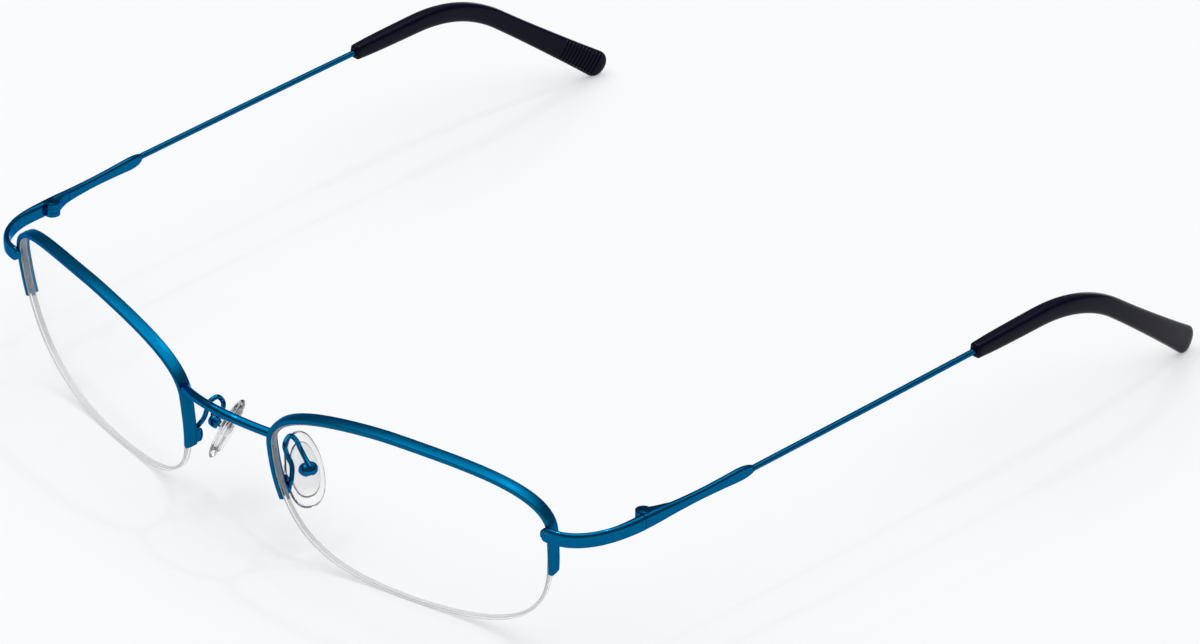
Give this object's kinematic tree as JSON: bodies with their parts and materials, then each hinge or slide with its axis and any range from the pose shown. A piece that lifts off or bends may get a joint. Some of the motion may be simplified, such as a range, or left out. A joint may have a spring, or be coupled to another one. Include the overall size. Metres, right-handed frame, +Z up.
{
  "type": "half rim eyeglasses",
  "caption": "Half-rim metal eyeglasses with folding wire temples, curved ear tips, rocking nose pads and nylon-cord lens mounting.",
  "frame": {"origin": "on the surface the glasses stand on, under the middle of the bounding box", "axes": "+Z up, +Y from the front back along the temples, +X to the wearer's left"},
  "size_m": [0.1416, 0.1512, 0.031],
  "materials": {
    "blue_metal": "glossy deep blue lacquer over metal",
    "lens": "polished clear lens with a frosted edge",
    "nylon_liner": "translucent nylon strip",
    "nylon_cord": "clear nylon filament",
    "tip_acetate": "glossy near-black navy plastic",
    "pad_silicone": "clear soft silicone",
    "pad_core": "clear rigid insert"
  },
  "bodies": {
    "front": {"bridge": "blue_metal", "lens_l": "lens", "lens_r": "lens", "rim_l": "blue_metal", "rim_r": "blue_metal", "rim_liner_l": "nylon_liner", "rim_liner_r": "nylon_liner", "lens_cord_l": "nylon_cord", "lens_cord_r": "nylon_cord", "end_piece_l": "blue_metal", "end_piece_r": "blue_metal", "hinge_front_l": "blue_metal", "hinge_front_r": "blue_metal", "pad_arm_l": "blue_metal", "pad_arm_r": "blue_metal", "pad_box_l": "blue_metal", "pad_box_r": "blue_metal", "pad_screw_l": "blue_metal", "pad_screw_r": "blue_metal"},
    "temple_left": {"hinge_temple_l": "blue_metal", "hinge_screw_l": "blue_metal", "temple_bar_l": "blue_metal", "temple_wire_l": "blue_metal", "temple_tip_l": "tip_acetate"},
    "temple_right": {"hinge_temple_r": "blue_metal", "hinge_screw_r": "blue_metal", "temple_bar_r": "blue_metal", "temple_wire_r": "blue_metal", "temple_tip_r": "tip_acetate"},
    "pad_left": {"pad_core_l": "pad_core", "nose_pad_l": "pad_silicone"},
    "pad_right": {"pad_core_r": "pad_core", "nose_pad_r": "pad_silicone"}
  },
  "joints": [
    {"name": "fold_left", "type": "hinge", "parent": "front", "child": "temple_left", "pos_m": [0.06637, -0.04961, 0.02224], "axis": [0, 0, 1], "range_deg": [0, 90]},
    {"name": "fold_right", "type": "hinge", "parent": "front", "child": "temple_right", "pos_m": [-0.06637, -0.04961, 0.02224], "axis": [0, 0, -1], "range_deg": [0, 82]},
    {"name": "rock_pad_left", "type": "hinge", "parent": "front", "child": "pad_left", "pos_m": [0.01031, -0.06542, 0.01316], "axis": [0.3489, 0.9371, 0], "range_deg": [-12, 12]},
    {"name": "rock_pad_right", "type": "hinge", "parent": "front", "child": "pad_right", "pos_m": [-0.01031, -0.06542, 0.01316], "axis": [-0.3489, 0.9371, 0], "range_deg": [-12, 12]}
  ]
}
